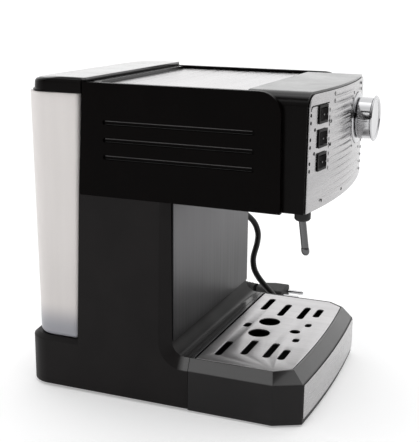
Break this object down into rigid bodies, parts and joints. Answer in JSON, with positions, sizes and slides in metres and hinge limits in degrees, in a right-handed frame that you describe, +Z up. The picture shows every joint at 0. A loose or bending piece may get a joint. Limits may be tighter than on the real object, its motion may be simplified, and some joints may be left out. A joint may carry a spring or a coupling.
{
  "type": "espresso machine",
  "caption": "Pump espresso machine: head with rocker switches and a steam knob over a drip tray, steam wand, cup plate and lift-out rear water tank.",
  "frame": {"origin": "on the worktop under the middle of the machine's width and depth, the free mains lead left out", "axes": "+X to the right seen from the front, front faces -Y, +Z up"},
  "size_m": [0.3548, 0.283, 0.2826],
  "materials": {
    "black_plastic": "satin black moulded plastic",
    "soft_black": "fine matt black moulded plastic",
    "brushed_steel": "brushed stainless steel",
    "chrome": "bright chrome",
    "milky_tank": "milky translucent plastic",
    "rubber": "matt black rubber",
    "aluminium": "cast aluminium",
    "brass": "turned brass",
    "silicone": "translucent silicone"
  },
  "bodies": {
    "machine_body": {"body_shell": "soft_black", "bottom_plate": "soft_black", "foot_front_left": "rubber", "foot_front_right": "rubber", "foot_rear_left": "rubber", "foot_rear_right": "rubber", "splash_plate": "brushed_steel", "head_housing": "black_plastic", "front_panel": "brushed_steel", "cup_plate": "brushed_steel", "cheek_left": "black_plastic", "cheek_right": "black_plastic", "switch_case_1": "soft_black", "switch_case_2": "soft_black", "switch_case_3": "soft_black", "knob_flange": "chrome", "steam_valve": "brass", "wand_nut": "rubber", "steam_pipe": "brass", "bayonet_ring": "soft_black", "group_head": "aluminium", "group_gasket": "silicone", "shower_screen": "brushed_steel", "boiler_lower": "aluminium", "boiler_upper": "aluminium", "heating_element": "brushed_steel", "thermostat": "soft_black", "pump_mount": "rubber", "pump_coil": "soft_black", "pump_head": "brass", "pressure_hose": "silicone", "suction_hose": "silicone", "terminal_block": "silicone", "tank_seat": "silicone", "cord_gland": "rubber", "cord_lead": "rubber", "cord_coil": "rubber", "cord_tail": "rubber", "plug_body": "rubber", "plug_pin_left": "chrome", "plug_pin_right": "chrome", "plug_relief": "rubber"},
    "steam_knob": {"steam_knob": "chrome", "knob_cap": "chrome", "valve_stem": "brass"},
    "rocker_1": {"rocker_1": "black_plastic"},
    "rocker_2": {"rocker_2": "black_plastic"},
    "rocker_3": {"rocker_3": "black_plastic"},
    "steam_wand": {"steam_wand": "chrome", "wand_tip": "chrome"},
    "drip_tray": {"drip_tray": "soft_black", "tray_front_plate": "brushed_steel"},
    "drip_grid": {"drip_grid": "brushed_steel"},
    "water_tank": {"water_tank": "milky_tank", "tank_valve_cap": "soft_black"},
    "tank_lid": {"tank_lid": "black_plastic"},
    "tank_valve": {"tank_valve": "rubber"}
  },
  "joints": [
    {"name": "knob_turn", "type": "hinge", "parent": "machine_body", "child": "steam_knob", "pos_m": [0.042, -0.13, 0.2445], "axis": [0, -1, 0], "range_deg": [0, 270]},
    {"name": "rocker_1_tilt", "type": "hinge", "parent": "machine_body", "child": "rocker_1", "pos_m": [-0.06737, -0.11614, 0.2606], "axis": [0, 0, 1], "range_deg": [0, 22]},
    {"name": "rocker_2_tilt", "type": "hinge", "parent": "machine_body", "child": "rocker_2", "pos_m": [-0.06737, -0.11614, 0.2416], "axis": [0, 0, 1], "range_deg": [0, 22]},
    {"name": "rocker_3_tilt", "type": "hinge", "parent": "machine_body", "child": "rocker_3", "pos_m": [-0.06737, -0.11614, 0.2229], "axis": [0, 0, 1], "range_deg": [0, 22]},
    {"name": "wand_swivel", "type": "hinge", "parent": "machine_body", "child": "steam_wand", "pos_m": [-0.08, -0.111, 0.184], "axis": [0, 0, 1], "range_deg": [-60, 60]},
    {"name": "tray_slide", "type": "slide", "parent": "machine_body", "child": "drip_tray", "axis": [0, -1, 0], "range_m": [0, 0.11]},
    {"name": "grid_lift", "type": "slide", "parent": "drip_tray", "child": "drip_grid", "axis": [0, 0, 1], "range_m": [0, 0.04]},
    {"name": "tank_lift", "type": "slide", "parent": "machine_body", "child": "water_tank", "axis": [0, 0, 1], "range_m": [0, 0.06]},
    {"name": "lid_hinge", "type": "hinge", "parent": "water_tank", "child": "tank_lid", "pos_m": [0, 0.0746, 0.2812], "axis": [1, 0, 0], "range_deg": [0, 100]},
    {"name": "tank_valve_push", "type": "slide", "parent": "water_tank", "child": "tank_valve", "axis": [0, 0, 1], "range_m": [0, 0.003], "stiffness_N_per_m": 80}
  ]
}
